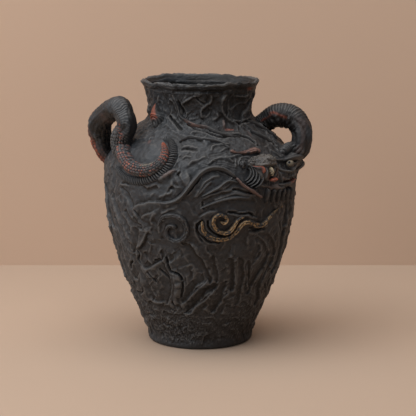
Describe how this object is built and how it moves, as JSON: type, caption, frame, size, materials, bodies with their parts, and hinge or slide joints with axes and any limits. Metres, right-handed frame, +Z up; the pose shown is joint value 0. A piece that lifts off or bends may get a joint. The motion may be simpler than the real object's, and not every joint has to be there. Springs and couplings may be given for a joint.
{
  "type": "two-handled stoneware jar",
  "caption": "Round-bellied jar with a short neck and rolled rim, two loop handles formed by a dragon's body in relief, and scrolled clouds, for storing or display.",
  "frame": {"origin": "centre of the foot's underside, where the jar stands", "axes": "+Z up the jar's axis; -Y is the front with the coil, the face and the clouds; +X is the side of the handle by the face"},
  "size_m": [0.2545, 0.223, 0.3],
  "materials": {
    "charcoal_glaze": "fired stoneware under a dark charcoal, satin glaze, hand-textured, browner towards the right and the foot",
    "smooth_charcoal": "the same glaze over clay smoothed with a wet finger",
    "red_slip": "red clay slip rubbed back to the ridges, matte",
    "rose_slip": "dusty rose slip, matte",
    "bone_slip": "bone-coloured slip, satin",
    "gilt": "worn gold pigment rubbed on the raised clay, satin"
  },
  "bodies": {
    "root": {"foot_slab": "charcoal_glaze", "lower_wall": "charcoal_glaze", "belly_wall": "charcoal_glaze", "shoulder_wall": "charcoal_glaze", "neck_collar": "charcoal_glaze", "rim_coil": "charcoal_glaze", "right_eye": "bone_slip", "left_eye": "charcoal_glaze", "fang": "bone_slip", "tongue_tip": "red_slip", "upper_lip": "red_slip", "nose": "smooth_charcoal", "muzzle": "charcoal_glaze", "right_brow": "charcoal_glaze", "left_brow": "rose_slip", "forehead_tuft": "charcoal_glaze", "right_cheek": "charcoal_glaze", "lower_lip": "red_slip", "cheek_fold_1": "charcoal_glaze", "cheek_fold_2": "charcoal_glaze", "cheek_fold_3": "charcoal_glaze", "cheek_fold_4": "charcoal_glaze", "cheek_fold_5": "charcoal_glaze", "beard_lock_1": "charcoal_glaze", "beard_lock_2": "charcoal_glaze", "beard_lock_3": "charcoal_glaze", "beard_lock_4": "charcoal_glaze", "beard_lock_5": "charcoal_glaze", "beard_lock_6": "charcoal_glaze", "tail_loop_handle": "charcoal_glaze", "neck_loop_handle": "charcoal_glaze", "body_coil": "charcoal_glaze", "dorsal_crest": "charcoal_glaze", "tail_tip": "red_slip", "whisker_root": "rose_slip", "whisker": "charcoal_glaze", "mane_lock_1": "charcoal_glaze", "mane_lock_2": "charcoal_glaze", "mane_lock_3": "charcoal_glaze", "mane_lock_4": "charcoal_glaze", "wave_fold_1": "charcoal_glaze", "wave_fold_2": "charcoal_glaze", "dark_cloud": "smooth_charcoal", "gilt_cloud": "gilt", "gilt_cloud_tail": "gilt"}
  },
  "joints": []
}
